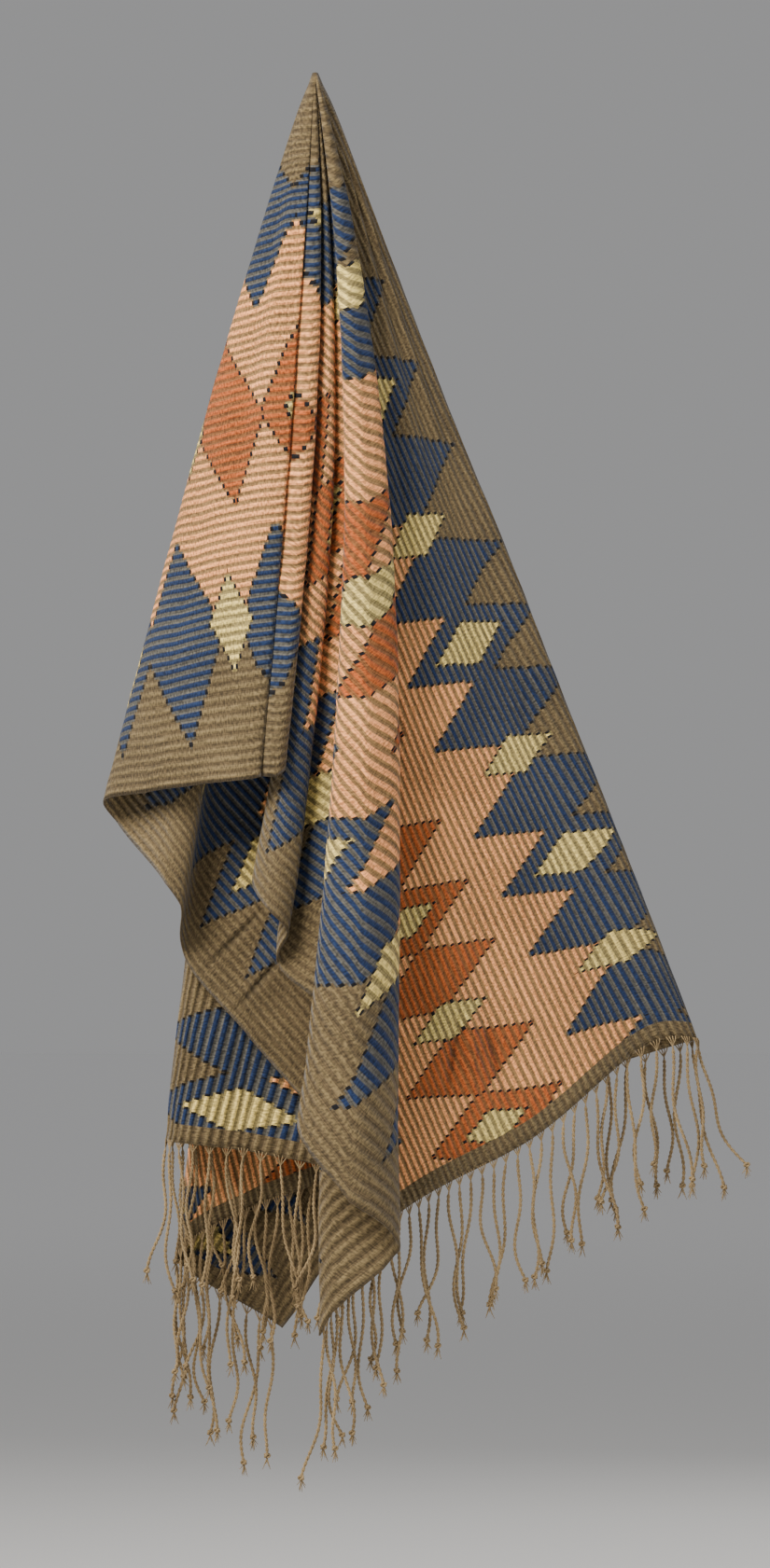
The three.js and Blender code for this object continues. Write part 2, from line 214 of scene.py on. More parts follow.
# Small relief of the cloth, in metres. Waves lie along the folds, so they are measured in degrees
# across them. Each kind takes its own layer of the noise.
WAVE = 0.0022
WAVE_DISTANCES = (0.15, 0.5)
WAVE_DEGREES = 3.1
WAVES_PER_METRE = 5
WAVE_LAYER = 7.3
RIPPLE = 0.0007
RIPPLE_DISTANCES = (0.1, 0.3)
RIPPLES_PER_METRE = 28
RIPPLE_LAYER = 1.7
HEM_WAVE = 0.004
HEM_WAVE_WIDTH = 0.05
HEM_WAVES_PER_METRE = 16
HEM_WAVE_LAYER = 4.1
CREASES = (
    # along, across, direction in degrees, length, width, height
    (0.905, 0.338, 27, 0.035, 0.009, 0.006),
    (0.922, 0.318, 8, 0.035, 0.009, -0.005),
    (0.9, 0.362, 40, 0.03, 0.009, -0.004),
    (-0.55, 0.645, 90, 0.035, 0.009, -0.005),
    (-0.6, 0.65, 90, 0.035, 0.009, -0.005),
)
# A sharp line runs down the middle of each crease: its half width in millimetres, its height as a
# share of the weave's relief, and how much painted shade darkens it where it is sunk
CREASE_LINE_WIDTH = 3.5
CREASE_LINE_HEIGHT = 1.6
CREASE_SHADE = 0.45
# Fine folds that run out from the nail: direction and width in degrees, then metres. They rise and
# fade over the distances below.
FINE_FOLD_RISE = 0.08
FINE_FOLD_FADE = 0.2
FINE_FOLDS = (
    # direction, width, height, first, last
    (8.2, 1.1, 0.003, 0.06, 0.5),
    (11.6, 1.2, -0.0025, 0.06, 0.45),
    (15, 1.3, 0.003, 0.05, 0.6),
    (97, 1.6, 0.0022, 0.1, 0.7),
    (101, 1.4, -0.002, 0.1, 0.6),
    (41, 0.8, -0.002, 0.2, 0.9),
)

# Near the nail the right fold runs closer to the top selvedge, and the cloth follows it as far
# round as a flat direction in degrees. Beyond a distance in metres it runs where the table says.
FOLD_STEADY_FROM = 0
FOLD_STEADY_TO = 0.88
FOLD_SPAN_END = 34.3

# How the cloth has slipped in its folds, in metres. A span is four flat directions in degrees, or
# four distances from the nail in metres: where it starts, is full, fades and ends.
# The left panel has slipped to the right by a share of its length past a distance, and is drawn up
# above its hem, at its outer side by only a share of that.
PANEL_SPAN = (91.9, 93.3, 109, 119.3)
PANEL_SLIP = 0.1
PANEL_SLIP_FROM = 0.27
PANEL_LIFT = 0.017
PANEL_LIFT_SPAN = (0.04, 0.13, 0.55, 0.7)
PANEL_OUTER_LIFT = 0.4
# The roll beside the left panel has slipped to the left above and to the right below
SIDE_ROLL_FROM = 84
SIDE_ROLL_FULL = 88
SIDE_ROLL_UPPER_SLIP = -0.016
SIDE_ROLL_UPPER_SPAN = (0.1, 0.3, 0.44, 0.54)
SIDE_ROLL_LOWER_SLIP = 0.02
SIDE_ROLL_LOWER_FROM = 0.44
SIDE_ROLL_LOWER_FULL = 0.54
# The middle roll is drawn up
ROLL_SPAN = (35.1, 38.5, 45, 50)
ROLL_RISE = 0.033
ROLL_RISE_SPAN = (0.15, 0.45, 0.8, 1.05)
# The low panel at the back has shifted across the ribs
LOW_PANEL_SPAN = (161, 166, 174.5, 180)
LOW_PANEL_SHIFT = 0.036
LOW_PANEL_FROM = 0.2
LOW_PANEL_FULL = 0.7

# The right hem is drawn up beside its outer corner and beside the roll
HEM_RAISES = (
    # flat direction in degrees, height in metres
    (5.7, 0),
    (9, 0.021),
    (18, 0),
    (27.4, 0.017),
    (34.3, 0),
)
# The raise begins at this share of the way to the hem
HEM_RAISED_FROM = 0.8


def lerp(a, b, share):
    return a + (b - a) * share


def smooth(low, high, value):
    """From 0 where value is low to 1 where it is high."""
    share = min(max((value - low) / (high - low), 0), 1)
    return share * share * (3 - 2 * share)


def within(span, value):
    """From 0 to 1 and back to 0 over a span of start, full, fade and end."""
    start, full, fade, end = span
    return smooth(start, full, value) * smooth(end, fade, value)


def centripetal(points, steps):
    """Points on the centripetal curve through points, with as many steps in each span."""
    ends = [points[0] * 2 - points[1], *points, points[-1] * 2 - points[-2]]
    curve = []
    for span, count in enumerate(steps):
        before, start, end, after = ends[span : span + 4]
        gap_before = max(math.sqrt((before - start).length), SMALLEST_GAP)
        gap = max(math.sqrt((start - end).length), SMALLEST_GAP)
        gap_after = max(math.sqrt((end - after).length), SMALLEST_GAP)
        leave = (start - before) / gap_before - (end - before) / (gap_before + gap)
        leave = (leave + (end - start) / gap) * gap
        arrive = (end - start) / gap - (after - start) / (gap + gap_after)
        arrive = (arrive + (after - end) / gap_after) * gap
        for k in range(count):
            t = k / count
            curve.append(
                start
                + leave * t
                + (start * -3 + end * 3 - leave * 2 - arrive) * t**2
                + (start * 2 - end * 2 + leave + arrive) * t**3
            )
    curve.append(points[-1])
    return curve


def rounded_folds():
    """One section for each column of the cloth, with values as in the table of folds."""
    steps = []
    for before, after in zip(FOLDS, FOLDS[1:]):
        count = math.ceil((after[FLAT] - before[FLAT]) / DEGREES_PER_COLUMN)
        steps.append(max(count, FEWEST_COLUMNS))
    top = centripetal([Vector((fold[TOP], fold[DEPTH])) for fold in FOLDS], steps)
    edge = centripetal([Vector((fold[LEAN], fold[DEPTH])) for fold in FOLDS], steps)
    sections = []
    for span, count in enumerate(steps):
        before, after = FOLDS[span : span + 2]
        last = span == len(steps) - 1
        for k in range(count + 1 if last else count):
            share = k / count
            place = len(sections)
            sections.append(
                {
                    "flat": lerp(before[FLAT], after[FLAT], share),
                    "top": top[place].x,
                    "lean": edge[place].x,
                    "depth": edge[place].y,
                    "bow": lerp(before[BOW], after[BOW], share) / MILLIMETRES,
                    "reach": lerp(before[REACH], after[REACH], share),
                }
            )
    return sections


def flat_reach(flat):
    """Flat distance from the nail to the cloth's edge in a direction."""
    along = math.cos(math.radians(flat))
    across = math.sin(math.radians(flat))
    to_end = RIGHT_HALF_LENGTH / along if along > 0 else LEFT_HALF_LENGTH / max(-along, TINY)
    return min(to_end, CLOTH_WIDTH / max(across, TINY))


def gathered_width(down):
    """Width of the hanging bundle for one radian of lean, at a distance down."""
    return math.hypot(down, BUNDLE_WIDTH) * (1 - TIP_PINCH * math.exp(-down / TIP_ROUNDING))


def settled(down):
    """Share of the way from a fold's lean near the nail to its lean far down."""
    share = min(max((down - SETTLE_START) / (SETTLE_END - SETTLE_START), 0), 1)
    return 1 - (1 - share) ** SETTLE_POWER


def hem_raise(flat):
    """How far the hem is drawn up in a flat direction."""
    for (before, low), (after, high) in zip(HEM_RAISES, HEM_RAISES[1:]):
        if before <= flat <= after:
            return lerp(low, high, smooth(before, after, flat))
    return 0


def hang(section, distance):
    """Where a point of the cloth hangs: section of the fan, flat distance from the nail."""
    edge = flat_reach(section["flat"])
    down = distance * section["reach"]
    share = distance / edge
    down -= hem_raise(section["flat"]) * smooth(HEM_RAISED_FROM, 1, share)
    turn = settled(down) / settled(edge * section["reach"])
    lean = math.radians(lerp(section["top"], section["lean"], turn))
    bow = section["bow"] * 4 * share * (1 - share)
    depth = math.tan(math.radians(section["depth"]))
    lifted = (TIP_TOP + APEX_DROP) * math.exp(-down / TIP_LIFT)
    return Vector(
        (
            math.sin(lean) * gathered_width(down) + bow,
            -WALL_GAP - depth * (BUNDLE_DEPTH + DEPTH_GROWTH * down),
            -APEX_DROP - down * math.cos(lean) + lifted,
        )
    )


def flat_place(section, distance):
    """Place on the flat cloth: along the ribs from the nail, and down from the top selvedge."""
    flat = section["flat"]
    turned = RIGHT_FOLD * (smooth(FOLD_STEADY_FROM, FOLD_STEADY_TO, distance) - 1)
    if flat < RIGHT_FOLD:
        flat += turned * flat / RIGHT_FOLD
    elif flat < FOLD_SPAN_END:
        flat += turned * (FOLD_SPAN_END - flat) / (FOLD_SPAN_END - RIGHT_FOLD)

    panel_start, panel_full, panel_fade, _ = PANEL_SPAN
    on_panel = within(PANEL_SPAN, flat)
    slip = PANEL_SLIP * max(distance - PANEL_SLIP_FROM, 0) * on_panel
    lift = PANEL_LIFT * within(PANEL_LIFT_SPAN, distance) * on_panel
    lift *= lerp(PANEL_OUTER_LIFT, 1, smooth(panel_fade, panel_full, flat))
    if flat < panel_start:
        upper = SIDE_ROLL_UPPER_SLIP * within(SIDE_ROLL_UPPER_SPAN, distance)
        lower = SIDE_ROLL_LOWER_SLIP * smooth(SIDE_ROLL_LOWER_FROM, SIDE_ROLL_LOWER_FULL, distance)
        slip += (upper + lower) * smooth(SIDE_ROLL_FROM, SIDE_ROLL_FULL, flat)

    distance += ROLL_RISE * within(ROLL_SPAN, flat) * within(ROLL_RISE_SPAN, distance)
    shift = LOW_PANEL_SHIFT * within(LOW_PANEL_SPAN, flat)
    shift *= smooth(LOW_PANEL_FROM, LOW_PANEL_FULL, distance)
    return (
        distance * math.cos(math.radians(flat)) - slip,
        distance * math.sin(math.radians(flat)) + lift - shift,
    )


def new_piece(name, points, faces, material, flat_places=None):
    """A mesh object from points and faces that rides with the hanging, smooth all over."""
    mesh = bpy.data.meshes.new(name)
    mesh.from_pydata(points, [], faces)
    mesh.materials.append(material)
    mesh.polygons.foreach_set("use_smooth", [True] * len(mesh.polygons))
    if flat_places:
        layer = mesh.uv_layers.new(name="flat")
        for loop in mesh.loops:
            layer.data[loop.index].uv = flat_places[loop.vertex_index]
    piece = bpy.data.objects.new(name, mesh)
    bpy.context.scene.collection.objects.link(piece)
    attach(piece, "root")
    return piece


# Materials

# Places of the two colours among the inputs of a mix, and of the colour it gives
MIX_FIRST = 6
MIX_SECOND = 7
MIX_RESULT = 2


class Shading:
    """Builds the nodes of one material."""

    def __init__(self, name):
        self.material = bpy.data.materials.new(name)
        self.material.use_nodes = True
        self.tree = self.material.node_tree
        self.shader = self.tree.nodes["Principled BSDF"]

    def feed(self, socket, value):
        if isinstance(value, bpy.types.NodeSocket):
            self.tree.links.new(value, socket)
        else:
            socket.default_value = value

    def calc(self, operation, *values):
        node = self.tree.nodes.new("ShaderNodeMath")
        node.operation = operation
        for socket, value in zip(node.inputs, values):
            self.feed(socket, value)
        return node.outputs[0]

    def add(self, a, b):
        return self.calc("ADD", a, b)

    def less(self, a, b):
        return self.calc("SUBTRACT", a, b)

    def times(self, a, b):
        return self.calc("MULTIPLY", a, b)

    def size(self, a):
        return self.calc("ABSOLUTE", a)

    def ramp(self, value, low, high):
        """From 0 where value is low to 1 where it is high."""
        node = self.tree.nodes.new("ShaderNodeMapRange")
        node.interpolation_type = "SMOOTHSTEP"
        for socket, given in zip(node.inputs, (value, low, high, 0, 1)):
            self.feed(socket, given)
        return node.outputs[0]

    def mix(self, share, a, b):
        node = self.tree.nodes.new("ShaderNodeMix")
        node.data_type = "RGBA"
        self.feed(node.inputs["Factor"], share)
        self.feed(node.inputs[MIX_FIRST], a)
        self.feed(node.inputs[MIX_SECOND], b)
        return node.outputs[MIX_RESULT]

    def vector(self, x, y):
        node = self.tree.nodes.new("ShaderNodeCombineXYZ")
        for socket, value in zip(node.inputs, (x, y)):
            self.feed(socket, value)
        return node.outputs[0]

    def object_place(self):
        node = self.tree.nodes.new("ShaderNodeTexCoord")
        return node.outputs["Object"]

    def noise(self, place, scale=1, detail=2):
        node = self.tree.nodes.new("ShaderNodeTexNoise")
        self.feed(node.inputs["Vector"], place)
        self.feed(node.inputs["Scale"], scale)
        self.feed(node.inputs["Detail"], detail)
        return node.outputs[0]

    def bump(self, height, distance, strength=1, normal=None):
        node = self.tree.nodes.new("ShaderNodeBump")
        self.feed(node.inputs["Height"], height)
        self.feed(node.inputs["Distance"], distance)
        self.feed(node.inputs["Strength"], strength)
        if normal:
            self.feed(node.inputs["Normal"], normal)
        return node.outputs[0]


def colour(red, green, blue):
    """Linear colour from one on a screen, 0 to 255."""
    linear = []
    for value in (red, green, blue):
        share = value / 255
        linear.append(share / 12.92 if share <= 0.04045 else ((share + 0.055) / 1.055) ** 2.4)
    return (*linear, 1.0)


# The woven pattern, in millimetres of flat cloth
RIB_PITCH = 8.75
HALF_WIDTH = CLOTH_WIDTH * MILLIMETRES / 2
REPEAT = 238
NEIGHBOUR = 70
FIRST_LOZENGE = 21
MIDDLE_SHIFT = -35
BORDER_CENTRE = 138
SPACER_CENTRE = 145
END_BAND = 18
# the repeats lie further out from the middle, and a little less so towards the ends
SLACK_SHIFT = 60
SLACK_FROM = 60
SLACK_TO = 480
END_SHIFT = 17
END_SHIFT_FROM = 650
END_SHIFT_TO = 950
# the dye strays along each rib: how far, how often along it, and how much from rib to rib
STRAY = 4
STRAY_ALONG = 0.02
STRAY_PER_RIB = 3.7
# black dashes step down the edges of the lozenges
DASH_LENGTH = 2.5
DASH_HEIGHT = 4.5
# half widths along the ribs and half heights across them
BORDER_LOZENGE = (42, 100)
BORDER_EYE = (23, 54)
MIDDLE_LOZENGE = (37, 87)
MIDDLE_EYE = (17, 40)
SPACER = (21, 50)
# distances from the middle of a rib, as shares of the pitch: the dyed part ends, the groove starts
DYED_NONE = 0.3
DYED_FULL = 0.2
GROOVE_NONE = 0.4
GROOVE_FULL = 0.5

# Colour of the dyed rib and of the plain rib next to it
TAUPE = (colour(106, 91, 63), colour(90, 76, 53))
PINK = (colour(229, 154, 97), colour(138, 106, 67))
BLUE = (colour(27, 42, 72), colour(80, 78, 72))
RUST = (colour(168, 86, 41), colour(126, 80, 45))
YELLOW = (colour(212, 188, 110), colour(139, 124, 78))
BLACK = colour(16, 16, 20)

# Grain of the cloth: how fine it is along and across the ribs, and its shares in the shade
FLECKS_ALONG = 0.6
FLECKS_ACROSS = 0.26
FLECKS_SHARE = 0.6
STREAKS_ALONG = 0.03
STREAKS_ACROSS = 0.9
STREAKS_SHARE = 0.25
CLOUDS_SCALE = 0.012
CLOUDS_SHARE = 0.15
SHADE_LOW = 0.36
SHADE_HIGH = 0.64
DARKEST = 0.5
LIGHT_GAIN = 0.96
GROOVE_SHADE = 0.3

# Relief of the cloth, heights in metres: ribs and flecks in the weave, and a soft one below them
WEAVE_RELIEF = 0.002
RIB_SWELL = 0.5
FLECK_SWELL = 0.6
SOFT_RELIEF = 0.006
SOFT_SCALE = 0.02
SOFT_DETAIL = 3
SOFT_STRENGTH = 0.6


def woven_place(s, along, rib):
    """Place in the pattern along a rib, with the cloth's slack and each rib's stray dye."""
    slack = s.times(s.ramp(s.size(along), SLACK_FROM, SLACK_TO), SLACK_SHIFT)
    slack = s.times(slack, s.calc("SIGN", along))
    slack = s.less(slack, s.times(s.ramp(s.size(along), END_SHIFT_FROM, END_SHIFT_TO), END_SHIFT))
    grain = s.noise(s.vector(s.times(along, STRAY_ALONG), s.times(rib, STRAY_PER_RIB)))
    stray = s.times(s.less(grain, 0.5), STRAY)
    return s.add(s.less(along, slack), stray)


def from_lozenge(s, woven, shift):
    """Distance along the ribs from the nearest main lozenge of a row."""
    moved = s.add(s.less(woven, FIRST_LOZENGE + shift), REPEAT / 2)
    wrapped = s.calc("WRAP", moved, REPEAT, 0)
    return s.size(s.less(wrapped, REPEAT / 2))


def lozenge(s, offset, height, half):
    """Distance along the ribs outside a lozenge, negative inside."""
    half_width, half_height = half
    reach = s.times(s.calc("DIVIDE", height, half_height), half_width)
    return s.less(s.add(offset, reach), half_width)


def lozenge_pair(s, offset, height, half):
    """The same for two lozenges side by side, which overlap."""
    nearest = s.calc("MINIMUM", offset, s.size(s.less(offset, NEIGHBOUR)))
    return lozenge(s, nearest, height, half)


def spacer(s, offset, height):
    """The same for the small lozenge halfway between two pairs."""
    return lozenge(s, s.less(REPEAT / 2, offset), height, SPACER)


def woven_colours(s, along, rib, rib_centre):
    """Colours of the dyed rib and of the plain one, and where black dashes cross a rib."""
    woven = woven_place(s, along, rib)
    middle_height = s.size(s.less(rib_centre, HALF_WIDTH))
    from_border = s.less(HALF_WIDTH, middle_height)
    border_height = s.size(s.less(from_border, BORDER_CENTRE))
    spacer_height = s.size(s.less(from_border, SPACER_CENTRE))
    border = from_lozenge(s, woven, 0)
    middle = from_lozenge(s, woven, MIDDLE_SHIFT)
    motifs = (
        (lozenge_pair(s, border, border_height, BORDER_LOZENGE), BLUE),
        (lozenge_pair(s, middle, middle_height, MIDDLE_LOZENGE), RUST),
        (lozenge(s, border, border_height, BORDER_EYE), YELLOW),
        (lozenge(s, middle, middle_height, MIDDLE_EYE), YELLOW),
        (spacer(s, border, spacer_height), YELLOW),
        (spacer(s, middle, middle_height), YELLOW),
    )
    in_ground = s.calc("GREATER_THAN", from_border, BORDER_CENTRE)
    dyed_colour = s.mix(in_ground, TAUPE[0], PINK[0])
    plain_colour = s.mix(in_ground, TAUPE[1], PINK[1])
    dashed = 0.0
    for outside, (dyed_dye, plain_dye) in motifs:
        inside = s.calc("LESS_THAN", outside, 0)
        dyed_colour = s.mix(inside, dyed_colour, dyed_dye)
        plain_colour = s.mix(inside, plain_colour, plain_dye)
        covered = s.calc("LESS_THAN", outside, -DASH_LENGTH / 2)
        on_edge = s.calc("LESS_THAN", s.size(outside), DASH_LENGTH / 2)
        dashed = s.calc("MAXIMUM", s.times(dashed, s.less(1, covered)), on_edge)

    past_right = s.calc("GREATER_THAN", along, RIGHT_HALF_LENGTH * MILLIMETRES - END_BAND)
    past_left = s.calc("LESS_THAN", along, END_BAND - LEFT_HALF_LENGTH * MILLIMETRES)
    in_band = s.calc("MAXIMUM", past_right, past_left)
    dyed_colour = s.mix(in_band, dyed_colour, TAUPE[0])
    plain_colour = s.mix(in_band, plain_colour, TAUPE[1])
    return dyed_colour, plain_colour, s.times(dashed, s.less(1, in_band))


def crease_lines(s, along, across):
    """Height of the sharp lines down the creases, and how far a place lies in a sunken one, where
    painted shade falls.
    """
    raised = 0.0
    sunk = 0.0
    for middle_along, middle_across, turned, length, _, height in CREASES:
        cosine = math.cos(math.radians(turned))
        sine = math.sin(math.radians(turned))
        off_along = s.less(along, middle_along * MILLIMETRES)
        off_across = s.less(across, middle_across * MILLIMETRES)
        lengthwise = s.add(s.times(off_along, cosine), s.times(off_across, sine))
        sideways = s.less(s.times(off_across, cosine), s.times(off_along, sine))
        lengthwise = s.times(lengthwise, 1 / (length * MILLIMETRES))
        sideways = s.times(sideways, 1 / CREASE_LINE_WIDTH)
        apart = s.add(s.times(lengthwise, lengthwise), s.times(sideways, sideways))
        line = s.calc("EXPONENT", s.times(apart, -1))
        raised = s.add(raised, s.times(line, math.copysign(CREASE_LINE_HEIGHT, height)))
        if height < 0:
            sunk = s.calc("MAXIMUM", sunk, line)
    return raised, sunk


def ikat_cloth():
    s = Shading("ikat_cloth")
    flat = s.tree.nodes.new("ShaderNodeUVMap")
    flat.uv_map = "flat"
    parts = s.tree.nodes.new("ShaderNodeSeparateXYZ")
    s.feed(parts.inputs[0], flat.outputs[0])
    along = s.times(parts.outputs["X"], MILLIMETRES)
    across = s.times(parts.outputs["Y"], MILLIMETRES)
    place = s.vector(along, across)

    rib = s.calc("FLOOR", s.calc("DIVIDE", across, RIB_PITCH))
    rib_centre = s.times(s.add(rib, 0.5), RIB_PITCH)
    from_rib = s.less(across, rib_centre)
    from_middle = s.size(from_rib)
    dyed = s.ramp(from_middle, RIB_PITCH * DYED_NONE, RIB_PITCH * DYED_FULL)
    groove = s.ramp(from_middle, RIB_PITCH * GROOVE_NONE, RIB_PITCH * GROOVE_FULL)

    dyed_colour, plain_colour, dashed = woven_colours(s, along, rib, rib_centre)
    on_dash = s.times(dashed, s.calc("LESS_THAN", from_middle, DASH_HEIGHT / 2))
    cloth_colour = s.mix(dyed, plain_colour, dyed_colour)
    cloth_colour = s.mix(on_dash, cloth_colour, BLACK)

    flecks = s.noise(s.vector(s.times(along, FLECKS_ALONG), s.times(across, FLECKS_ACROSS)))
    streaks = s.noise(s.vector(s.times(along, STREAKS_ALONG), s.times(across, STREAKS_ACROSS)))
    clouds = s.noise(place, CLOUDS_SCALE)
    shade = s.add(s.times(streaks, STREAKS_SHARE), s.times(clouds, CLOUDS_SHARE))
    shade = s.add(s.times(flecks, FLECKS_SHARE), shade)
    lit = s.ramp(shade, SHADE_LOW, SHADE_HIGH)
    raised, sunk = crease_lines(s, along, across)
    light = s.add(DARKEST, s.times(lit, LIGHT_GAIN))
    # painted shade in the grooves between the ribs
    light = s.times(light, s.less(1, s.times(groove, GROOVE_SHADE)))
    # painted shade inside the sunken creases
    light = s.times(light, s.less(1, s.times(sunk, CREASE_SHADE)))
    brightness = s.tree.nodes.new("ShaderNodeHueSaturation")
    s.feed(brightness.inputs["Color"], cloth_colour)
    s.feed(brightness.inputs["Value"], light)
    s.feed(s.shader.inputs["Base Color"], brightness.outputs[0])

    swell = s.calc("COSINE", s.times(from_rib, 2 * math.pi / RIB_PITCH))
    relief = s.add(s.times(swell, RIB_SWELL), s.times(flecks, FLECK_SWELL))
    relief = s.add(relief, raised)
    soft = s.bump(s.noise(place, SOFT_SCALE, SOFT_DETAIL), SOFT_RELIEF, SOFT_STRENGTH)
    s.feed(s.shader.inputs["Normal"], s.bump(relief, WEAVE_RELIEF, normal=soft))
    s.shader.inputs["Roughness"].default_value = 0.92
    s.shader.inputs["Specular IOR Level"].default_value = 0.15
    s.shader.inputs["Sheen Weight"].default_value = 0.12
    s.shader.inputs["Sheen Roughness"].default_value = 0.5
    return s.material


# Yarn of the fringe: how many fibres and patches of shade in a metre, and their shares in the shade
FIBRE_SCALE = 900
FIBRE_DETAIL = 3
FIBRE_SHARE = 0.6
PATCH_SCALE = 30
PATCH_SHARE = 0.4
YARN_LOW = 0.3
YARN_HIGH = 0.7
YARN_RELIEF = 0.0004
DARK_YARN = colour(104, 87, 62)
PALE_YARN = colour(160, 138, 102)


def fringe_yarn():
    s = Shading("fringe_yarn")
    place = s.object_place()
    fibres = s.noise(place, FIBRE_SCALE, FIBRE_DETAIL)
    patches = s.noise(place, PATCH_SCALE)
    shade = s.add(s.times(fibres, FIBRE_SHARE), s.times(patches, PATCH_SHARE))
    yarn = s.mix(s.ramp(shade, YARN_LOW, YARN_HIGH), DARK_YARN, PALE_YARN)
    s.feed(s.shader.inputs["Base Color"], yarn)
    s.feed(s.shader.inputs["Normal"], s.bump(fibres, YARN_RELIEF))
    s.shader.inputs["Roughness"].default_value = 0.9
    s.shader.inputs["Specular IOR Level"].default_value = 0.15
    return s.material


# Iron of the nail: how many grains in a metre, and how they change its colour and its roughness
GRAIN_SCALE = 1500
GRAIN_DETAIL = 3
GRAIN_LOW = 0.35
GRAIN_HIGH = 0.65
GRAIN_RELIEF = 0.0001
SMOOTHEST_IRON = 0.35
ROUGHNESS_GAIN = 0.3
DARK_IRON = colour(34, 33, 34)
PALE_IRON = colour(62, 59, 56)


def nail_iron():
    s = Shading("nail_iron")
    grain = s.noise(s.object_place(), GRAIN_SCALE, GRAIN_DETAIL)
    iron = s.mix(s.ramp(grain, GRAIN_LOW, GRAIN_HIGH), DARK_IRON, PALE_IRON)
    roughness = s.add(SMOOTHEST_IRON, s.times(grain, ROUGHNESS_GAIN))
    s.feed(s.shader.inputs["Base Color"], iron)
    s.feed(s.shader.inputs["Roughness"], roughness)
    s.feed(s.shader.inputs["Normal"], s.bump(grain, GRAIN_RELIEF))
    s.shader.inputs["Metallic"].default_value = 0.9
    return s.material


# The cloth

SECTIONS = rounded_folds()


def flat_columns():
    """Flat distance from the nail of each point of the cloth, column by column."""
    columns = []
    for section in SECTIONS:
        edge = flat_reach(section["flat"])
        columns.append([lerp(FIRST_RING, edge, j / ROWS_DOWN) for j in range(ROWS_DOWN + 1)])
    return columns


def rumpled(grid, places):
    """The grid of points with the cloth's small waves, fine folds and creases."""
    points = []
    for i, column in enumerate(grid):
        left = grid[max(i - 1, 0)]
        right = grid[min(i + 1, len(grid) - 1)]
        for j, point in enumerate(column):
            across = right[j] - left[j]
            down = column[min(j + 1, ROWS_DOWN)] - column[max(j - 1, 0)]
            normal = across.cross(down)
            if normal.length > SMALLEST_NORMAL:
                normal.normalize()
            points.append(point + normal * ruck(places[i][j]))
    return points


def ripple(along, across, per_metre, layer):
    """Even waves all over the flat cloth, from -1 to 1."""
    return noise.noise((along * per_metre, across * per_metre, layer))


def creased(along, across):
    """How far the creases stand out at a place on the flat cloth."""
    out = 0
    for middle_along, middle_across, turned, length, width, height in CREASES:
        angle = math.radians(turned)
        off_along = along - middle_along
        off_across = across - middle_across
        lengthwise = off_along * math.cos(angle) + off_across * math.sin(angle)
        sideways = off_across * math.cos(angle) - off_along * math.sin(angle)
        out += height * math.exp(-((lengthwise / length) ** 2) - (sideways / width) ** 2)
    return out


def finely_folded(flat, distance):
    """How far the fine folds stand out in a flat direction, at a distance from the nail."""
    out = 0
    for middle, width, height, first, last in FINE_FOLDS:
        run = smooth(first, first + FINE_FOLD_RISE, distance)
        run *= smooth(last, last - FINE_FOLD_FADE, distance)
        out += height * run * math.exp(-(((flat - middle) / width) ** 2))
    return out


def ruck(place):
    """How far the cloth stands out of its smooth fold at a place on the flat cloth."""
    along, across = place
    distance = math.hypot(along, across)
    flat = math.degrees(math.atan2(across, along))
    wave = noise.noise((flat / WAVE_DEGREES, distance * WAVES_PER_METRE, WAVE_LAYER))
    out = WAVE * smooth(*WAVE_DISTANCES, distance) * wave
    rippled = ripple(along, across, RIPPLES_PER_METRE, RIPPLE_LAYER)
    out += RIPPLE * smooth(*RIPPLE_DISTANCES, distance) * rippled
    to_end = RIGHT_HALF_LENGTH - along if along > 0 else LEFT_HALF_LENGTH + along
    to_hem = min(CLOTH_WIDTH - across, to_end)
    hem_waved = ripple(along, across, HEM_WAVES_PER_METRE, HEM_WAVE_LAYER)
    out += HEM_WAVE * smooth(HEM_WAVE_WIDTH, 0, to_hem) * hem_waved
    return out + creased(along, across) + finely_folded(flat, distance)


def make_cloth(material):
    grid = []
    flat_grid = []
    for section, distances in zip(SECTIONS, flat_columns()):
        grid.append([hang(section, distance) for distance in distances])
        flat_grid.append([flat_place(section, distance) for distance in distances])
    points = rumpled(grid, flat_grid)
    flat_places = [place for column in flat_grid for place in column]
    rows = ROWS_DOWN + 1
    faces = []
    for i in range(len(SECTIONS) - 1):
        for j in range(ROWS_DOWN):
            a = i * rows + j
            faces.append((a, a + rows, a + rows + 1, a + 1))
    cloth = new_piece("ikat_sheet", points, faces, material, flat_places)
    thickness = cloth.modifiers.new("thickness", "SOLIDIFY")
    thickness.thickness = CLOTH_THICKNESS
    thickness.offset = 0
    return cloth


# The fringes


def past_end(flat, distance):
    """A place past the end of the cloth, in line with the cloth in a flat direction."""
    k = 0
    while k < len(SECTIONS) - 2 and SECTIONS[k + 1]["flat"] < flat:
        k += 1
    before, after = SECTIONS[k : k + 2]
    share = (flat - before["flat"]) / (after["flat"] - before["flat"])
    slant = abs(math.cos(math.radians(flat)))
    a = hang(before, flat_reach(before["flat"]) + distance / slant)
    b = hang(after, flat_reach(after["flat"]) + distance / slant)
    return a.lerp(b, share)


def strand_directions(half_length):
    """Flat directions of the strands, evenly spaced along an end of the cloth."""
    count = math.ceil((CLOTH_WIDTH - FIRST_STRAND * 1.5) / STRAND_PITCH)
    directions = []
    for k in range(count):
        down = FIRST_STRAND + k * STRAND_PITCH
        directions.append(math.degrees(math.atan2(down, half_length)))
    return directions


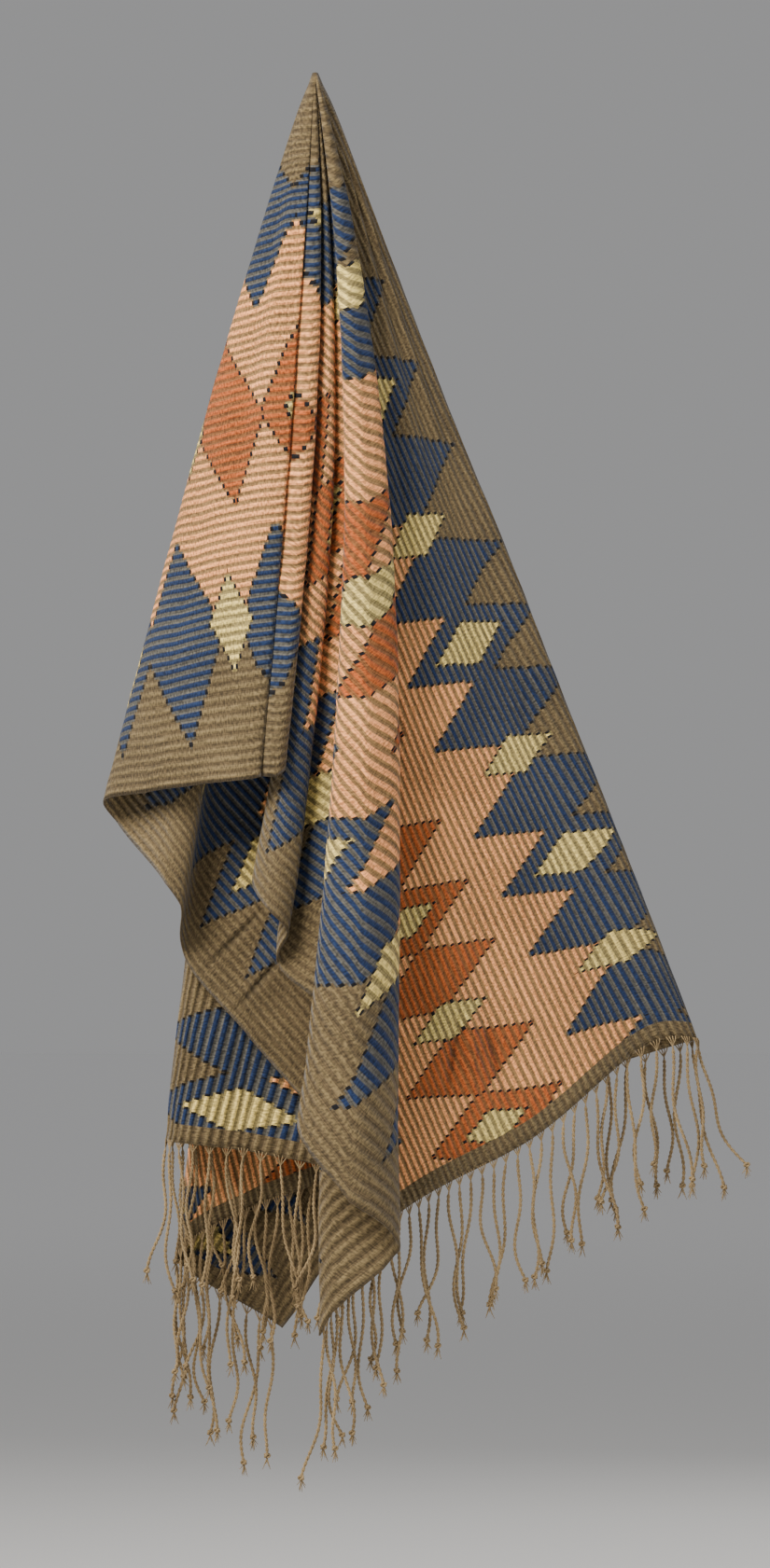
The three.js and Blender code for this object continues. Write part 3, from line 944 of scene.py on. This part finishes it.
class Tubes:
    """Collects thin tubes into the points and faces of one mesh."""

    def __init__(self):
        self.points = []
        self.faces = []

    def add(self, route, radii, sides, closed=False):
        first = len(self.points)
        count = len(route)
        for k, centre in enumerate(route):
            if closed:
                along = route[(k + 1) % count] - route[k - 1]
            else:
                along = route[min(k + 1, count - 1)] - route[max(k - 1, 0)]
            along.normalize()
            side = along.cross(Vector((0.3, 1, 0.2))).normalized()
            up = along.cross(side)
            for corner in range(sides):
                angle = 2 * math.pi * corner / sides
                outward = side * math.cos(angle) + up * math.sin(angle)
                self.points.append(centre + outward * radii[k])
        for k in range(count if closed else count - 1):
            a = first + k * sides
            b = first + (k + 1) % count * sides
            for corner in range(sides):
                after = (corner + 1) % sides
                self.faces.append((a + corner, a + after, b + after, b + corner))
        if not closed:
            last = first + (count - 1) * sides
            self.faces.append(tuple(first + corner for corner in reversed(range(sides))))
            self.faces.append(tuple(last + corner for corner in range(sides)))


def bent(bends, share, number):
    """How far the bends carry a strand at a share of its length."""
    out = 0
    for size, turn, strand_turn, power in bends:
        out += size * math.sin(share * turn + number * strand_turn) * share**power
    return out


def strand_route(head, number, splay, length):
    """Points down the middle of a strand, from its head to its knot."""
    outward, nearest = splay
    outward *= math.exp(-abs(number - nearest) / SPLAY_SPREAD)
    route = []
    for k in range(STRAND_RINGS + 1):
        share = k / STRAND_RINGS
        sideways = bent(SIDEWAYS_BENDS, share, number) + outward * share**SPLAY_POWER
        forward = bent(FORWARD_BENDS, share, number)
        route.append(head + Vector((sideways, forward, -length * share)))
    return route


def add_gather(tubes, flat, head, route):
    """The yarns that run together from the end of the cloth into a strand."""
    for k in range(GATHER_YARNS):
        spread = math.degrees(GATHER_WIDTH) * (k / (GATHER_YARNS - 1) - 0.5)
        inner_spread = spread * GATHER_MIDDLE_SPREAD
        root = past_end(min(max(flat + spread, 0), LAST_FLAT), GATHER_ROOT)
        middle = past_end(min(max(flat + inner_spread, 0), LAST_FLAT), GATHER_MIDDLE)
        path = [root, middle, head, route[GATHER_LAST_RING]]
        tubes.add(path, [YARN_RADIUS] * len(path), YARN_SIDES)


def add_plies(tubes, route, number):
    """The yarns that twist round each other down a strand."""
    for ply in range(PLIES):
        twisted = []
        radii = []
        for k, centre in enumerate(route):
            full = smooth(0, RINGS_TO_FULL_PLY, k)
            turn = 2 * math.pi * (k / RINGS_PER_TURN + ply / PLIES) + number
            side = Vector((math.cos(turn), math.sin(turn), 0))
            twisted.append(centre + side * (PLY_OFFSET * full))
            radii.append(PLY_RADIUS * lerp(PLY_START, 1, full))
        tubes.add(twisted, radii, PLY_SIDES)


def add_knot(tubes, knot, number):
    """One yarn wound into a closed knot of three lobes."""
    loop = []
    for k in range(KNOT_RINGS):
        angle = 2 * math.pi * k / KNOT_RINGS
        reach = KNOT_RADIUS * (2 + math.cos(KNOT_LOBES * angle)) / 3
        x = reach * math.cos(KNOT_ROUNDS * angle + number)
        y = reach * math.sin(KNOT_ROUNDS * angle + number)
        z = KNOT_RADIUS * KNOT_HEIGHT * math.sin(KNOT_LOBES * angle)
        loop.append(knot + Vector((x, y, z)))
    tubes.add(loop, [PLY_RADIUS * KNOT_YARN] * KNOT_RINGS, PLY_SIDES, closed=True)


def add_tuft(tubes, knot, number):
    """The loose yarns below a knot."""
    for k in range(TUFT_YARNS):
        turn = 2 * math.pi * k / TUFT_YARNS + number * TUFT_ROUND_TURN
        side = Vector((math.cos(turn), math.sin(turn), 0))
        uneven = abs(math.sin(number * TUFT_STRAND_TURN + k * TUFT_SPREAD_TURN))
        spread = TUFT_SPREAD * lerp(TUFT_LEAST_SPREAD, 1, uneven)
        longer = TUFT_LENGTH_CHANGE * math.sin(number + k * TUFT_LENGTH_TURN)
        drop = TUFT_LENGTH * (1 - TUFT_LENGTH_CHANGE + longer)
        path = []
        for share in TUFT_SHARES:
            path.append(knot + side * spread * share**TUFT_POWER - Vector((0, 0, drop * share)))
        radii = [TUFT_RADIUS] * (len(path) - 1) + [TUFT_RADIUS * TUFT_TIP]
        tubes.add(path, radii, TUFT_SIDES)


def add_strand(tubes, flat, number, splay):
    sloping = GATHER_LENGTH * GATHER_SLOPING
    head = past_end(flat, sloping) - Vector((0, 0, GATHER_LENGTH - sloping))
    uneven = LENGTH_SPREAD * (math.sin(number * LENGTH_TURN) - LENGTH_OFFSET)
    length = STRAND_LENGTH - GATHER_LENGTH - TUFT_LENGTH + uneven
    route = strand_route(head, number, splay, length)
    add_gather(tubes, flat, head, route)
    add_plies(tubes, route, number)
    add_knot(tubes, route[-1], number)
    add_tuft(tubes, route[-1], number)


def make_fringe(name, flats, splay, material):
    tubes = Tubes()
    for number, flat in enumerate(flats):
        add_strand(tubes, flat, number, splay)
    return new_piece(name, tubes.points, tubes.faces, material)


# Camera and light, in metres and watts

PHOTO_WIDTH = 825
PHOTO_HEIGHT = 1681
NAIL_IN_PHOTO = (337, 76)
METRES_PER_PIXEL = 0.00091
CAMERA_DISTANCE = 12
MIDDLE_OF_CLOTH_Y = -0.1
SIGHT_END = 60

LIGHT_TARGET = (0.05, -0.1, -0.7)
LIGHTS = (
    # name, place, power, width, tint
    ("key", (-1.9, -1.8, 1.5), 245, 1.6, (1, 0.95, 0.88)),
    ("fill", (2.6, -3.0, -0.2), 60, 2.0, (0.98, 0.97, 1)),
    ("back", (1.6, 3.4, 0.8), 30, 2.0, (1, 0.97, 0.93)),
)
STUDIO_TONE = (0.86, 0.86, 0.87, 1)
STUDIO_STRENGTH = 0.36

# The floor has painted light: it is painted paler away from the hanging, where less light falls
FLOOR_HEIGHT = -1.62
FLOOR_RADIUS = 30
FLOOR_SIDES = 96
FLOOR_PALER_FROM = 4
FLOOR_PALER_TO = 15
FLOOR_TONE = (0.73, 0.73, 0.725, 1)
FAR_FLOOR_TONE = (0.98, 0.98, 0.98, 1)


def add_camera():
    camera = bpy.data.cameras.new("camera")
    eye = bpy.data.objects.new("camera", camera)
    bpy.context.scene.collection.objects.link(eye)
    x = (PHOTO_WIDTH / 2 - NAIL_IN_PHOTO[0]) * METRES_PER_PIXEL
    z = -(PHOTO_HEIGHT / 2 - NAIL_IN_PHOTO[1]) * METRES_PER_PIXEL
    eye.location = (x, -CAMERA_DISTANCE, z)
    eye.rotation_euler = (math.radians(90), 0, 0)
    view_height = PHOTO_HEIGHT * METRES_PER_PIXEL
    camera.lens = camera.sensor_width * (CAMERA_DISTANCE + MIDDLE_OF_CLOTH_Y) / view_height
    camera.clip_end = SIGHT_END
    bpy.context.scene.camera = eye


def add_light(name, place, power, width, tint):
    light = bpy.data.lights.new(name, "AREA")
    light.energy = power
    light.size = width
    light.color = tint
    lamp = bpy.data.objects.new(name, light)
    bpy.context.scene.collection.objects.link(lamp)
    lamp.location = place
    aim = Vector(LIGHT_TARGET) - Vector(place)
    lamp.rotation_euler = aim.to_track_quat("-Z", "Y").to_euler()


def pale_floor():
    s = Shading("pale_floor")
    distance = s.tree.nodes.new("ShaderNodeVectorMath")
    distance.operation = "LENGTH"
    s.feed(distance.inputs[0], s.object_place())
    # painted light: paler far from the hanging, where less light falls
    far = s.ramp(distance.outputs["Value"], FLOOR_PALER_FROM, FLOOR_PALER_TO)
    s.feed(s.shader.inputs["Base Color"], s.mix(far, FLOOR_TONE, FAR_FLOOR_TONE))
    s.shader.inputs["Roughness"].default_value = 0.9
    return s.material


def add_floor():
    mesh = bpy.data.meshes.new("floor")
    rim = []
    for k in range(FLOOR_SIDES):
        angle = 2 * math.pi * k / FLOOR_SIDES
        x = FLOOR_RADIUS * math.cos(angle)
        y = FLOOR_RADIUS * math.sin(angle)
        rim.append((x, y, FLOOR_HEIGHT))
    mesh.from_pydata(rim, [], [tuple(range(FLOOR_SIDES))])
    mesh.materials.append(pale_floor())
    floor = bpy.data.objects.new("floor", mesh)
    bpy.context.scene.collection.objects.link(floor)


def add_studio():
    world = bpy.data.worlds.new("studio")
    world.use_nodes = True
    background = world.node_tree.nodes["Background"]
    background.inputs["Color"].default_value = STUDIO_TONE
    background.inputs["Strength"].default_value = STUDIO_STRENGTH
    bpy.context.scene.world = world
    for light in LIGHTS:
        add_light(*light)
    add_floor()


add_camera()
add_studio()
cloth_material = ikat_cloth()
yarn_material = fringe_yarn()
iron_material = nail_iron()
cloth_piece = make_cloth(cloth_material)
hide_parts("cloth")
right_flats = strand_directions(RIGHT_HALF_LENGTH)
left_flats = [LAST_FLAT - flat for flat in reversed(strand_directions(LEFT_HALF_LENGTH))]
right_yarns = make_fringe("right_knotted_fringe", right_flats, RIGHT_SPLAY, yarn_material)
left_yarns = make_fringe("left_knotted_fringe", left_flats, LEFT_SPLAY, yarn_material)
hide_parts("right_fringe")
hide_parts("left_fringe")
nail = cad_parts["nail"]
nail.data.materials.clear()
nail.data.materials.append(iron_material)
